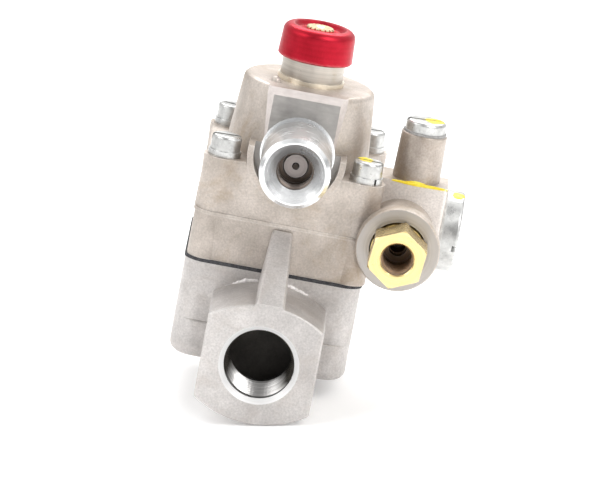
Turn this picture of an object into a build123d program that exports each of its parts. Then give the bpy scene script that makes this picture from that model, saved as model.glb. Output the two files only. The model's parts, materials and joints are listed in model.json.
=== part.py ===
from build123d import *
import math
import os

# Thermocouple-supervised gas safety valve, in millimetres.
# The model is laid out about the reset stem's axis (x = 0, y = 0) and the pipe axis (z = 0), with the
# outlet side towards -Y and the pilot block towards +X. Each part is then moved along Y by -ORIGIN_Y,
# so the origin is on the pipe axis where the inlet port's thread starts, behind the countersunk mouth.

# --- pipe bosses and lower casting ---
HALF_LENGTH = 44.5          # stem axis to either port's mouth
BOSS_FLAT = 13.9            # half width across a boss's flats
BOSS_CORNER_Z = 10.2        # height of a boss's corners above the pipe axis
BOSS_CROWN_Z = 14.6         # height of a boss's crown
BOSS_ROOT = 19.0            # where a boss ends inside the casting
THREAD_R = 8.4              # 3/8 pipe thread, wall radius
THREAD_LENGTH = 16.0
PASSAGE_R = 7.4             # inlet passage, between its drilling and the seat
PORT_DRILL_R = 8.0          # tap drilling behind a port's thread
PORT_DRILL_END = 19.5       # how far from the stem axis the inlet's drilling stops
MOUTH_R = 9.6               # countersink at a port's mouth
MOUTH_DEPTH = 1.3
ORIGIN_Y = HALF_LENGTH - MOUTH_DEPTH  # where the inlet's thread starts
BELLY_R = 12.3
BODY_SHIFT_X = -0.5         # the castings sit a little to the left of the stem axis
PLINTH_HALF_X = 21.5
PLINTH_HALF_Y = 22.3
PLINTH_BOTTOM_Z = -7.2
PLINTH_TOP_Z = 2.2
BODY_HALF_X = 21.3
BODY_HALF_Y = 21.5
BODY_CORNER_R = 5.0
GASKET_BOTTOM_Z = 16.6
GASKET_THICKNESS = 0.8
RIB_FOOT_WIDTH = 6.7
RIB_TOP_WIDTH = 5.0
RIB_TOP_Z = 27.7
RIB_BACK_Y = -22.2
INLET_WALL_Y = 4.0          # where the inlet passage ends, under the seat
OUTLET_WALL_Y = -13.2       # where the outlet passage ends, under the lower chamber
OUTLET_SLOT_HALF_X = 6.5
OUTLET_SLOT_FRONT_Y = -18.6
OUTLET_SLOT_LOW_Z = -4.4

# --- upper casting ---
UPPER_BOTTOM_Z = GASKET_BOTTOM_Z + GASKET_THICKNESS
FLANGE_Z = 42.5             # top face that the cover screws pull down on
SEAM_Z = 28.8               # mould parting line
DRUM_TOP_Z = 60.5
DRUM_FOOT_R = 17.6
DRUM_TOP_R = 15.95
DRUM_EDGE_R = 1.5
DRUM_CAVITY_R = 12.5
DRUM_CAVITY_TOP_Z = 57.5
CHAMBER_R = 16.5
CHAMBER_TOP_Z = 40.0
PAD_Y = -15.5               # machined pad on the drum's front
PAD_FACE_WIDTH = 16.2
PAD_ROOT_WIDTH = 19.4
PAD_BEVEL = 1.6             # bevel between the pad and the drum's top

# --- screws ---
SCREW_PITCH = 34.5
COLUMN_FOOT_R = 4.3
COLUMN_TOP_R = 4.85
SCREW_R = 1.95
SCREW_HEAD_R = 3.6
SCREW_HEAD_H = 2.8
SCREW_CROWN_H = 0.9
LOCK_WASHER_R = 3.95
LOCK_WASHER_H = 1.4

# --- thermocouple connector ---
CONN_Z = 45.65
CONN_R = 8.5
CONN_FRONT_Y = -37.8
CONN_WASHER_H = 0.8
CONN_SHANK_R = 6.5
CONN_SHANK_END_Y = -12.9
CONN_THREAD_R = 4.5
CONN_CONE_R = 7.2
CONN_CONE_DEPTH = 3.0
INSULATOR_FACE_Y = -29.0
INSULATOR_R = 3.1
CONN_THREAD_END_Y = -29.45
CONTACT_R = 0.9
COLLAR_R = 11.9
COLLAR_BORE_R = 10.4
COLLAR_TOP_Z = 46.9
RECESS_BACKING_Z = 32.6

# --- reset button and stem ---
SLEEVE_R = 7.65
SLEEVE_TOP_Z = 66.9
SLEEVE_FLOOR_Z = 62.5
SLEEVE_BORE_R = 6.1
SLEEVE_SHANK_R = 5.5
CAP_BOTTOM_Z = 66.2
CAP_TOP_Z = 74.2
CAP_BOTTOM_R = 9.1
CAP_SIDE_TOP_R = 8.75
CAP_CEILING_Z = 71.2
CAP_DISH_Z = 73.0
CAP_DISH_R = 6.4
CAP_SHOULDER_R = 2.0        # rounding of the cap's top edge
CAP_INSIDE_R = 7.95
STEM_R = 3.0
STEM_BOTTOM_Z = 44.3
STEM_END_R = 3.4
STEM_END_TOP_Z = 74.0
STEM_END_SHANK_R = 1.6
CLIP_Z = 56.5
CLIP_H = 0.8
RUNNING_GAP = 0.05          # radial clearance of a sliding or turning fit

# --- valve spindle, seat and magnet ---
SPINDLE_R = 1.5
SPINDLE_TOP_Z = 44.2
SPINDLE_BOTTOM_Z = -2.2
ARMATURE_Z = 40.8
ARMATURE_H = 2.0
POLE_TOP_Z = 36.7
SEAT_Z = 4.0
SEAT_TOP_Z = 8.5
SEAT_RING_R = 8.0
SEAT_BORE_R = 5.5
DISC_R = 7.0
DISC_H = 1.5
HOLDER_H = 1.5
WEB_BOTTOM_Z = 5.0
POCKET_R = 9.5
POCKET_FLOOR_Z = -5.6
SPRING_WELL_R = 6.5
SPRING_WELL_Z = -9.3

# --- pilot block ---
BLOCK_LEFT_X = 20.0
BLOCK_RIGHT_X = 37.4
BLOCK_FRONT_Y = -11.0
BLOCK_BACK_Y = 12.5
BLOCK_BOTTOM_Z = 20.9
BLOCK_TOP_Z = 42.7          # top of the block's front part, under the adjuster tower
BLOCK_BACK_TOP_Z = 38.7
BLOCK_STEP_Y = 0.9
PILOT_Z = 29.7
PILOT_X = 27.6
PILOT_BOSS_R = 9.6
PILOT_RING_R = 10.1
PILOT_BOSS_FRONT_Y = -28.0
PILOT_RING_BACK_Y = -23.6   # the boss has a wider ring at its front, on a narrower neck
PILOT_NECK_R = 8.7
ADJUSTER_X = 29.4
ADJUSTER_Y = -5.1
ADJUSTER_TOP_Z = 54.2
ADJUSTER_FOOT_R = 5.8
ADJUSTER_TOP_R = 5.55
NEEDLE_BORE_R = 2.95
NEEDLE_SEAT_Z = 36.0
PLUG_BORE_R = 3.4
PLUG_HEAD_R = 4.9
PLUG_HEAD_H = 2.7
SIDE_CAP_Y = 2.0
SIDE_CAP_R = 9.9
SIDE_CAP_H = 4.2
SIDE_GASKET_H = 0.7
FILTER_BORE_R = 6.0
FILTER_FLOOR_X = 30.5
PILOT_TAP_R = 1.7            # drillings that carry the pilot gas
FITTING_AF = 12.7
FITTING_HOLE_R = 3.85
FITTING_MOUTH_CHAMFER = 0.3
FITTING_FRONT_Y = -37.5
FITTING_TURN = 24.0         # how far the hexagon ended up turned when tightened
DISC_LOW_Z = SEAT_Z - DISC_H - 0.05
HUB_LOW_Z = SPINDLE_BOTTOM_Z + 1.1

# --- magnet and bracket ---
POLE_X = 6.5
POLE_HALF = 2.5
COIL_HALF = 4.5
COIL_LOW_Z = 24.6
COIL_HIGH_Z = 34.2
BRIDGE_LOW_Z = 20.5
BRIDGE_HIGH_Z = 24.0
BRACKET_HALF_Y = 3.5
BRACKET_LEG_X = 11.6
BRACKET_T = 1.2
BRACKET_SCREW_X = (-14.4, 14.4)
BRACKET_SCREW_R = 1.0
BRACKET_THREAD = 5.0
GUIDE_R = 2.4
CONTACT_END_Y = -11.2
LEAD_R = 0.5

# --- pilot fitting ---
FITTING_SHANK_R = 5.4
FITTING_SHANK_END_Y = -16.0
FITTING_RECESS_R = 6.9
FITTING_RECESS_Y = -24.0
FITTING_COLLAR_R = 6.5
FITTING_HEX_BACK_Y = -28.3
FITTING_SEAT_Y = -22.0
FERRULE_R = 3.55
FERRULE_H = 2.6


def cylinder_z(radius, low, high, x=0.0, y=0.0):
    return Pos(x, y, (low + high) / 2) * Cylinder(radius, high - low)


def cylinder_y(radius, low, high, x=0.0, z=0.0):
    return Pos(x, (low + high) / 2, z) * Rot(90, 0, 0) * Cylinder(radius, high - low)


def cylinder_x(radius, low, high, y=0.0, z=0.0):
    return Pos((low + high) / 2, y, z) * Rot(0, 90, 0) * Cylinder(radius, high - low)


def block(x_low, x_high, y_low, y_high, z_low, z_high):
    middle = Pos((x_low + x_high) / 2, (y_low + y_high) / 2, (z_low + z_high) / 2)
    return middle * Box(x_high - x_low, y_high - y_low, z_high - z_low)


def rounded_prism(half_x, half_y, corner_r, low, high, taper=0.0):
    outline = RectangleRounded(2 * half_x, 2 * half_y, corner_r)
    return Pos(BODY_SHIFT_X, 0, low) * extrude(outline, high - low, taper=taper)


def cone_z(low_r, high_r, low, high, x=0.0, y=0.0):
    return Pos(x, y, (low + high) / 2) * Cone(low_r, high_r, high - low)


def cone_y(front_r, back_r, front, back, x=0.0, z=0.0):
    return Pos(x, (front + back) / 2, z) * Rot(-90, 0, 0) * Cone(front_r, back_r, back - front)


def spun(points):
    """Solid of revolution about the Z axis from (radius, height) points."""
    return revolve(make_face(Plane.XZ * Polyline(*points, close=True)), Axis.Z)


def ring_z(outer_r, inner_r, low, high, x=0.0, y=0.0):
    return cylinder_z(outer_r, low, high, x, y) - cylinder_z(inner_r, low, high, x, y)


def o_ring(centre_r, wire_r, z, x=0.0, y=0.0):
    return Pos(x, y, z) * Torus(centre_r, wire_r)


def coil_spring(outer_r, wire_r, low, high, turns):
    """Compression spring standing between two flat seats."""
    height = high - low - 2 * wire_r
    path = Helix(pitch=height / turns, height=height, radius=outer_r - wire_r)
    section = Plane(origin=path @ 0, z_dir=path % 0) * Circle(wire_r)
    return Pos(0, 0, low + wire_r) * sweep(section, path)


def screw_places():
    half = SCREW_PITCH / 2
    return [(-half, -half), (half, -half), (half, half), (-half, half)]


def crowned_section():
    """Outline of a pipe boss: flat sides with a shallow arc at the top and bottom."""
    low_left = (-BOSS_FLAT, -BOSS_CORNER_Z)
    low_right = (BOSS_FLAT, -BOSS_CORNER_Z)
    top_right = (BOSS_FLAT, BOSS_CORNER_Z)
    top_left = (-BOSS_FLAT, BOSS_CORNER_Z)
    outline = ThreePointArc(low_left, (0, -BOSS_CROWN_Z), low_right)
    outline += Line(low_right, top_right)
    outline += ThreePointArc(top_right, (0, BOSS_CROWN_Z), top_left)
    outline += Line(top_left, low_left)
    return make_face(outline)


def pipe_boss(side):
    """One pipe boss, on the outlet side (-1) or the inlet side (+1)."""
    length = HALF_LENGTH - BOSS_ROOT
    boss = Rot(90, 0, 0) * extrude(crowned_section(), length)
    boss = fillet(boss.edges().filter_by(Axis.Y), 1.2)
    boss = chamfer(boss.faces().sort_by(Axis.Y)[0].edges(), 0.35)
    boss = Pos(0, -BOSS_ROOT, 0) * boss
    return boss if side < 0 else mirror(boss, Plane.XZ)


def front_rib():
    side_view = Polyline(
        (-HALF_LENGTH, 9.0),
        (-HALF_LENGTH, BOSS_CROWN_Z + 0.3),
        (RIB_BACK_Y, RIB_TOP_Z),
        (RIB_BACK_Y, 9.0),
        close=True,
    )
    wedge = extrude(make_face(Plane.YZ * side_view), RIB_FOOT_WIDTH, both=True)
    front_view = Polyline(
        (-RIB_FOOT_WIDTH / 2 - 0.6, 9.0),
        (RIB_FOOT_WIDTH / 2 + 0.6, 9.0),
        (RIB_TOP_WIDTH / 2, RIB_TOP_Z),
        (-RIB_TOP_WIDTH / 2, RIB_TOP_Z),
        close=True,
    )
    taper = extrude(make_face(Plane.XZ * front_view), HALF_LENGTH, both=True)
    rib = wedge & taper
    slope = rib.faces().sort_by(Axis.Z)[-1]
    sides = [e for e in slope.edges() if abs((e @ 1 - e @ 0).Y) > 5]
    return fillet(sides, 0.8)


def lower_body():
    plinth = rounded_prism(PLINTH_HALF_X, PLINTH_HALF_Y, BODY_CORNER_R + 0.6, PLINTH_BOTTOM_Z, PLINTH_TOP_Z)
    plinth = fillet(plinth.faces().sort_by(Axis.Z)[0].edges(), 2.6)
    plinth = fillet(plinth.faces().sort_by(Axis.Z)[-1].edges(), 0.5)
    wall = rounded_prism(BODY_HALF_X + 0.25, BODY_HALF_Y + 0.25, BODY_CORNER_R, PLINTH_TOP_Z - 1, GASKET_BOTTOM_Z)
    body = plinth + wall + cylinder_y(BELLY_R, -BOSS_ROOT - 1, BOSS_ROOT + 1)
    body += pipe_boss(-1)
    body += pipe_boss(1)
    body += front_rib()
    for side in (-1, 1):
        mouth = side * HALF_LENGTH
        thread_end = side * (HALF_LENGTH - THREAD_LENGTH)
        low, high = sorted((mouth, thread_end))
        body -= cylinder_y(THREAD_R, low - 0.1, high)
        cone_front = mouth if side < 0 else mouth - MOUTH_DEPTH
        front_r = MOUTH_R if side < 0 else THREAD_R
        back_r = THREAD_R if side < 0 else MOUTH_R
        body -= cone_y(front_r, back_r, cone_front, cone_front + MOUTH_DEPTH)
        drill_low, drill_high = sorted((thread_end - side * 0.1, side * PORT_DRILL_END))
        body -= cylinder_y(PORT_DRILL_R, drill_low, drill_high)
    body -= cylinder_y(PASSAGE_R, INLET_WALL_Y, PORT_DRILL_END + 0.1)
    body -= cylinder_y(PORT_DRILL_R, -PORT_DRILL_END - 0.1, OUTLET_WALL_Y)
    slot_x = OUTLET_SLOT_HALF_X
    body -= block(-slot_x, slot_x, OUTLET_SLOT_FRONT_Y, OUTLET_WALL_Y, OUTLET_SLOT_LOW_Z, SEAT_TOP_Z + 1)
    body -= cylinder_z(CHAMBER_R - 0.5, SEAT_TOP_Z, GASKET_BOTTOM_Z + 1)
    body -= cylinder_z(SEAT_RING_R, WEB_BOTTOM_Z - 1, SEAT_TOP_Z + 1)
    body -= cylinder_z(POCKET_R, POCKET_FLOOR_Z, WEB_BOTTOM_Z)
    body -= cylinder_z(SPRING_WELL_R, SPRING_WELL_Z, POCKET_FLOOR_Z + 1)
    for x, y in screw_places():
        body -= cylinder_z(SCREW_R, PLINTH_TOP_Z, GASKET_BOTTOM_Z + 1, x, y)
    return body


def body_gasket():
    gasket = rounded_prism(BODY_HALF_X + 0.45, BODY_HALF_Y + 0.4, BODY_CORNER_R, GASKET_BOTTOM_Z, UPPER_BOTTOM_Z)
    gasket -= cylinder_z(CHAMBER_R, GASKET_BOTTOM_Z - 1, UPPER_BOTTOM_Z + 1)
    for x, y in screw_places():
        gasket -= cylinder_z(SCREW_R + 0.25, GASKET_BOTTOM_Z - 1, UPPER_BOTTOM_Z + 1, x, y)
    return gasket


def screw_column(x, y):
    column = cone_z(COLUMN_FOOT_R, COLUMN_TOP_R, SEAM_Z, FLANGE_Z, x, y)
    lower = cone_z(COLUMN_TOP_R - 0.3, COLUMN_FOOT_R, UPPER_BOTTOM_Z, SEAM_Z, x, y)
    return column + lower


def drum():
    body = cone_z(DRUM_FOOT_R, DRUM_TOP_R, FLANGE_Z - 1.5, DRUM_TOP_Z)
    return fillet(body.faces().sort_by(Axis.Z)[-1].edges(), DRUM_EDGE_R)


def drum_pad():
    """Flat machined pad on the drum's front, with bevelled sides."""
    top_view = Polyline(
        (-PAD_FACE_WIDTH / 2, PAD_Y),
        (PAD_FACE_WIDTH / 2, PAD_Y),
        (PAD_ROOT_WIDTH / 2, PAD_Y + 2.6),
        (PAD_ROOT_WIDTH / 2, -4.0),
        (-PAD_ROOT_WIDTH / 2, -4.0),
        (-PAD_ROOT_WIDTH / 2, PAD_Y + 2.6),
        close=True,
    )
    low = CONN_Z - 6
    return Pos(0, 0, low) * extrude(make_face(top_view), DRUM_TOP_Z - low)


def pad_bevel():
    """Wedge that is cut from the drum's top edge, above the pad."""
    side_view = Polyline(
        (PAD_Y - 1, DRUM_TOP_Z - PAD_BEVEL - 1),
        (PAD_Y + PAD_BEVEL + 1, DRUM_TOP_Z + 1),
        (PAD_Y - 1, DRUM_TOP_Z + 1),
        close=True,
    )
    return extrude(make_face(Plane.YZ * side_view), COLLAR_BORE_R, both=True)


def pilot_block():
    side_view = Polyline(
        (BLOCK_FRONT_Y, BLOCK_BOTTOM_Z),
        (BLOCK_FRONT_Y, BLOCK_TOP_Z),
        (BLOCK_STEP_Y, BLOCK_TOP_Z),
        (BLOCK_STEP_Y + 2.0, BLOCK_BACK_TOP_Z),
        (BLOCK_BACK_Y, BLOCK_BACK_TOP_Z),
        (BLOCK_BACK_Y, BLOCK_BOTTOM_Z),
        close=True,
    )
    width = BLOCK_RIGHT_X - BLOCK_LEFT_X
    body = Pos(BLOCK_LEFT_X, 0, 0) * extrude(make_face(Plane.YZ * side_view), width, dir=(1, 0, 0))
    back = body.edges().filter_by(Axis.X).sort_by(Axis.Y)[-2:]
    body = fillet(back.sort_by(Axis.Z)[-1], 3.0)
    bottom = body.edges().filter_by(Axis.X).sort_by(Axis.Z)[:2]
    body = fillet(bottom, 6.0)
    upright = body.edges().filter_by(Axis.Z).sort_by(Axis.X)[-2:]
    body = fillet(upright, 1.0)
    body += cylinder_x(PILOT_BOSS_R, BLOCK_LEFT_X, BLOCK_RIGHT_X, SIDE_CAP_Y, PILOT_Z)
    body += cylinder_y(PILOT_NECK_R, PILOT_RING_BACK_Y - 1, BLOCK_FRONT_Y + 2, PILOT_X, PILOT_Z)
    ring = cylinder_y(PILOT_RING_R, PILOT_BOSS_FRONT_Y, PILOT_RING_BACK_Y, PILOT_X, PILOT_Z)
    body += fillet(ring.edges().filter_by(GeomType.CIRCLE), 0.5)
    tower = cone_z(ADJUSTER_FOOT_R, ADJUSTER_TOP_R, BLOCK_TOP_Z - 0.6, ADJUSTER_TOP_Z, ADJUSTER_X, ADJUSTER_Y)
    tower = fillet(tower.faces().sort_by(Axis.Z)[-1].edges(), 0.4)
    return body + tower


def upper_body():
    body = rounded_prism(BODY_HALF_X, BODY_HALF_Y, BODY_CORNER_R, SEAM_Z, FLANGE_Z, taper=0.6)
    body = fillet(body.faces().sort_by(Axis.Z)[-1].edges(), 0.7)
    body += rounded_prism(BODY_HALF_X, BODY_HALF_Y, BODY_CORNER_R, UPPER_BOTTOM_Z, SEAM_Z)
    body += rounded_prism(BODY_HALF_X + 0.3, BODY_HALF_Y + 0.3, BODY_CORNER_R, SEAM_Z - 0.4, SEAM_Z + 0.4)
    for x, y in screw_places():
        body += screw_column(x, y)
    body += drum()
    body += drum_pad()
    collar = cylinder_y(COLLAR_R, -BODY_HALF_Y, PAD_Y + 3, 0, CONN_Z)
    body += collar & block(-COLLAR_R, COLLAR_R, -BODY_HALF_Y, PAD_Y + 3, UPPER_BOTTOM_Z, COLLAR_TOP_Z)
    body += pilot_block()
    body += Pos(-8.2, -7.6, DRUM_TOP_Z) * Sphere(1.3)
    body -= cylinder_z(CHAMBER_R, UPPER_BOTTOM_Z - 1, CHAMBER_TOP_Z)
    body += recess_backing()
    body -= cylinder_y(COLLAR_BORE_R, -BODY_HALF_Y - 5, PAD_Y, 0, CONN_Z)
    body -= block(-COLLAR_BORE_R, COLLAR_BORE_R, -BODY_HALF_Y - 5, PAD_Y, CONN_Z, DRUM_TOP_Z + 1)
    body -= pad_bevel()
    body -= cylinder_z(DRUM_CAVITY_R, CHAMBER_TOP_Z - 1, DRUM_CAVITY_TOP_Z)
    body -= cylinder_z(SLEEVE_SHANK_R, DRUM_CAVITY_TOP_Z - 1, DRUM_TOP_Z + 1)
    body -= cylinder_y(CONN_SHANK_R, PAD_Y - 1, -8.0, 0, CONN_Z)
    for x, y in screw_places():
        body -= cylinder_z(SCREW_R + 0.25, UPPER_BOTTOM_Z - 1, FLANGE_Z + 1, x, y)
    for x in BRACKET_SCREW_X:
        body -= cylinder_z(BRACKET_SCREW_R, CHAMBER_TOP_Z - 1, CHAMBER_TOP_Z + BRACKET_THREAD, x, 0)
    return body - pilot_passages()


def recess_backing():
    """Thick wall inside the chamber, behind the connector's round recess."""
    inside = cylinder_z(CHAMBER_R + 0.5, RECESS_BACKING_Z, CHAMBER_TOP_Z + 0.5)
    return inside & block(-13.0, 13.0, -CHAMBER_R - 1, -DRUM_CAVITY_R - 0.7, RECESS_BACKING_Z, CHAMBER_TOP_Z + 0.5)


def pilot_passages():
    """Bores of the pilot gas way: filter chamber, needle bore, outlet bore and the drillings between."""
    cuts = cylinder_x(FILTER_BORE_R, FILTER_FLOOR_X, BLOCK_RIGHT_X + 1, SIDE_CAP_Y, PILOT_Z)
    cuts += cylinder_x(PILOT_TAP_R, CHAMBER_R - 2, FILTER_FLOOR_X + 1, SIDE_CAP_Y, PILOT_Z)
    cuts += cylinder_z(PLUG_BORE_R, ADJUSTER_TOP_Z - 4, ADJUSTER_TOP_Z + 1, ADJUSTER_X, ADJUSTER_Y)
    cuts += cylinder_z(NEEDLE_BORE_R, NEEDLE_SEAT_Z, ADJUSTER_TOP_Z - 3, ADJUSTER_X, ADJUSTER_Y)
    cuts += cylinder_z(1.1, PILOT_Z, NEEDLE_SEAT_Z + 1, ADJUSTER_X, ADJUSTER_Y)
    start = Vector(FILTER_FLOOR_X + 0.5, SIDE_CAP_Y - 1, PILOT_Z + 2)
    end = Vector(ADJUSTER_X, ADJUSTER_Y, NEEDLE_SEAT_Z + 3)
    slant = (end - start).normalized()
    drill = Plane(origin=start, z_dir=slant) * Circle(0.9)
    cuts += extrude(drill, (end - start).length)
    cuts += cylinder_y(PILOT_TAP_R, FITTING_SHANK_END_Y - 1, ADJUSTER_Y + 1.6, PILOT_X, PILOT_Z)
    cuts += cylinder_y(FITTING_SHANK_R, FITTING_RECESS_Y - 0.5, FITTING_SHANK_END_Y, PILOT_X, PILOT_Z)
    cuts += cylinder_y(FITTING_RECESS_R, PILOT_BOSS_FRONT_Y - 1, FITTING_RECESS_Y, PILOT_X, PILOT_Z)
    return cuts


def cover_screw(x, y, slot_angle):
    head_low = FLANGE_Z + LOCK_WASHER_H
    head_high = head_low + SCREW_HEAD_H
    head = cylinder_z(SCREW_HEAD_R, head_low, head_high)
    crown = cylinder_z(SCREW_HEAD_R, head_high, head_high + SCREW_CROWN_H)
    crown = fillet(crown.faces().sort_by(Axis.Z)[-1].edges(), SCREW_CROWN_H * 0.85)
    screw = head + crown
    slot = Rot(0, 0, slot_angle) * block(-5, 5, -0.55, 0.55, head_high - 0.7, head_high + 2)
    screw -= slot
    screw += cylinder_z(SCREW_R, PLINTH_TOP_Z + 0.6, head_low)
    return Pos(x, y, 0) * screw


def lock_washer(x, y, gap_angle):
    washer = ring_z(LOCK_WASHER_R, SCREW_R + 0.15, FLANGE_Z, FLANGE_Z + LOCK_WASHER_H)
    gap = Rot(0, 0, gap_angle) * block(0, 6, -0.3, 0.3, FLANGE_Z - 1, FLANGE_Z + 3)
    return Pos(x, y, 0) * (washer - gap)


def reset_sleeve():
    sleeve = cylinder_z(SLEEVE_R, DRUM_TOP_Z, SLEEVE_TOP_Z)
    sleeve = fillet(sleeve.faces().sort_by(Axis.Z)[-1].edges(), 0.4)
    sleeve += cylinder_z(SLEEVE_R + 0.45, DRUM_TOP_Z, DRUM_TOP_Z + 1.1)
    sleeve += cylinder_z(SLEEVE_SHANK_R, DRUM_CAVITY_TOP_Z, DRUM_TOP_Z + 0.5)
    sleeve -= cylinder_z(SLEEVE_BORE_R, SLEEVE_FLOOR_Z, SLEEVE_TOP_Z + 1)
    sleeve -= cylinder_z(STEM_R + RUNNING_GAP, DRUM_CAVITY_TOP_Z - 1, SLEEVE_FLOOR_Z + 1)
    groove = ring_z(STEM_R + 1.6, STEM_R - 0.2, DRUM_TOP_Z - 1.5, DRUM_TOP_Z + 0.1)
    return sleeve - groove


def stem_seal():
    wire = 0.72
    return o_ring(STEM_R + RUNNING_GAP + wire, wire, DRUM_TOP_Z - 0.7)


def reset_button():
    outline = [
        (0, CAP_CEILING_Z),
        (CAP_INSIDE_R - 0.1, CAP_CEILING_Z),
        (CAP_INSIDE_R, CAP_BOTTOM_Z + 0.4),
        (CAP_INSIDE_R + 0.3, CAP_BOTTOM_Z),
        (CAP_BOTTOM_R - 0.3, CAP_BOTTOM_Z),
        (CAP_BOTTOM_R, CAP_BOTTOM_Z + 0.3),
        (CAP_SIDE_TOP_R, CAP_TOP_Z),
        (CAP_DISH_R, CAP_TOP_Z),
        (CAP_DISH_R - 1.0, CAP_DISH_Z),
        (0, CAP_DISH_Z),
    ]
    cap = spun(outline)
    shoulder = [e for e in cap.edges().filter_by(GeomType.CIRCLE) if abs(e.radius - CAP_SIDE_TOP_R) < 0.01]
    cap = fillet(shoulder, CAP_SHOULDER_R)
    return cap - cylinder_z(STEM_END_SHANK_R, CAP_CEILING_Z - 1, CAP_TOP_Z + 1)


def stem_end():
    head = cylinder_z(STEM_END_R, CAP_DISH_Z, STEM_END_TOP_Z)
    head = chamfer(head.faces().sort_by(Axis.Z)[-1].edges(), 0.25)
    for index in range(16):
        angle = index * 360.0 / 16
        head -= Rot(0, 0, angle) * block(STEM_END_R - 0.45, STEM_END_R + 1, -0.22, 0.22, CAP_DISH_Z, STEM_END_TOP_Z + 1)
    head -= cone_z(0.2, 1.3, STEM_END_TOP_Z - 0.5, STEM_END_TOP_Z + 0.01)
    return head + cylinder_z(STEM_END_SHANK_R, CAP_CEILING_Z - 5, CAP_DISH_Z + 0.1)


def reset_stem():
    stem = cylinder_z(STEM_R, STEM_BOTTOM_Z, CAP_CEILING_Z)
    stem = chamfer(stem.faces().sort_by(Axis.Z)[0].edges(), 0.4)
    stem -= cylinder_z(STEM_END_SHANK_R, CAP_CEILING_Z - 5, CAP_CEILING_Z + 1)
    return stem - ring_z(STEM_R + 1, STEM_R - 0.6, CLIP_Z, CLIP_Z + CLIP_H)


def snap_clip(outer_r, inner_r, low, high, mouth):
    clip = ring_z(outer_r, inner_r, low, high)
    return clip - block(0, outer_r + 1, -mouth / 2, mouth / 2, low - 1, high + 1)


def thermocouple_connector():
    back = PAD_Y - CONN_WASHER_H
    body = cylinder_y(CONN_R, CONN_FRONT_Y, back, 0, CONN_Z)
    body = chamfer(body.faces().sort_by(Axis.Y)[0].edges(), 0.9)
    body += cylinder_y(CONN_SHANK_R, back - 0.5, CONN_SHANK_END_Y, 0, CONN_Z)
    groove = cylinder_y(CONN_R + 1, back - 1.9, back - 1.2, 0, CONN_Z)
    groove -= cylinder_y(CONN_R - 0.35, back - 1.9, back - 1.2, 0, CONN_Z)
    body -= groove
    cone_end = CONN_FRONT_Y + CONN_CONE_DEPTH
    body -= cone_y(CONN_CONE_R, CONN_THREAD_R, CONN_FRONT_Y, cone_end, 0, CONN_Z)
    body -= cylinder_y(CONN_THREAD_R, cone_end - 0.1, CONN_THREAD_END_Y, 0, CONN_Z)
    body -= cylinder_y(CONN_THREAD_R - 0.25, CONN_THREAD_END_Y - 0.1, INSULATOR_FACE_Y + 0.8, 0, CONN_Z)
    return body - cylinder_y(INSULATOR_R, INSULATOR_FACE_Y, CONN_SHANK_END_Y + 1, 0, CONN_Z)


def connector_washer():
    washer = cylinder_y(CONN_R + 0.5, PAD_Y - CONN_WASHER_H, PAD_Y, 0, CONN_Z)
    return washer - cylinder_y(CONN_SHANK_R, PAD_Y - CONN_WASHER_H - 1, PAD_Y + 1, 0, CONN_Z)


def connector_insulator():
    body = cylinder_y(INSULATOR_R, INSULATOR_FACE_Y, CONN_SHANK_END_Y + 0.9, 0, CONN_Z)
    body = chamfer(body.faces().sort_by(Axis.Y)[0].edges(), 0.3)
    return body - cylinder_y(CONTACT_R, INSULATOR_FACE_Y - 1, CONN_SHANK_END_Y + 2, 0, CONN_Z)


def connector_contact():
    pin = cylinder_y(CONTACT_R, INSULATOR_FACE_Y - 0.35, CONTACT_END_Y, 0, CONN_Z)
    return fillet(pin.faces().sort_by(Axis.Y)[0].edges(), 0.3)


def contact_lead():
    route = FilletPolyline(
        (0, CONTACT_END_Y, CONN_Z),
        (0, -8.6, CONN_Z),
        (4.0, -8.6, 38.0),
        (POLE_X, -8.6, 30.0),
        (POLE_X, -COIL_HALF, 30.0),
        radius=1.2,
    )
    section = Plane(origin=route @ 0, z_dir=route % 0) * Circle(LEAD_R)
    return sweep(section, route)


def magnet_core():
    bridge = block(-POLE_X - POLE_HALF, POLE_X + POLE_HALF, -POLE_HALF, POLE_HALF, BRIDGE_LOW_Z, BRIDGE_HIGH_Z)
    core = bridge
    for side in (-1, 1):
        middle = side * POLE_X
        core += block(middle - POLE_HALF, middle + POLE_HALF, -POLE_HALF, POLE_HALF, BRIDGE_LOW_Z, POLE_TOP_Z)
    return core - cylinder_z(GUIDE_R, BRIDGE_LOW_Z - 1, BRIDGE_HIGH_Z + 1)


def magnet_coil(side):
    outer = RectangleRounded(2 * COIL_HALF, 2 * COIL_HALF, 1.4)
    inner = Rectangle(2 * POLE_HALF, 2 * POLE_HALF)
    return Pos(side * POLE_X, 0, COIL_LOW_Z) * extrude(outer - inner, COIL_HIGH_Z - COIL_LOW_Z)


def magnet_bracket():
    floor_low = BRIDGE_LOW_Z - BRACKET_T
    leg_out = BRACKET_LEG_X + BRACKET_T
    body = block(-leg_out, leg_out, -BRACKET_HALF_Y, BRACKET_HALF_Y, floor_low, BRIDGE_LOW_Z)
    for side in (-1, 1):
        near, far = sorted((side * BRACKET_LEG_X, side * leg_out))
        body += block(near, far, -BRACKET_HALF_Y, BRACKET_HALF_Y, floor_low, CHAMBER_TOP_Z)
        near, far = sorted((side * BRACKET_LEG_X, side * 16.0))
        body += block(near, far, -2.4, 2.4, CHAMBER_TOP_Z - BRACKET_T, CHAMBER_TOP_Z)
    body -= cylinder_z(GUIDE_R, floor_low - 1, BRIDGE_LOW_Z + 1)
    for x in BRACKET_SCREW_X:
        body -= cylinder_z(BRACKET_SCREW_R, CHAMBER_TOP_Z - 3, CHAMBER_TOP_Z + 1, x, 0)
    return body


def bracket_screw(x):
    head_high = CHAMBER_TOP_Z - BRACKET_T
    screw = cylinder_z(1.55, head_high - 1.2, head_high, x, 0)
    return screw + cylinder_z(BRACKET_SCREW_R, head_high, CHAMBER_TOP_Z + BRACKET_THREAD - 0.4, x, 0)


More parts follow.
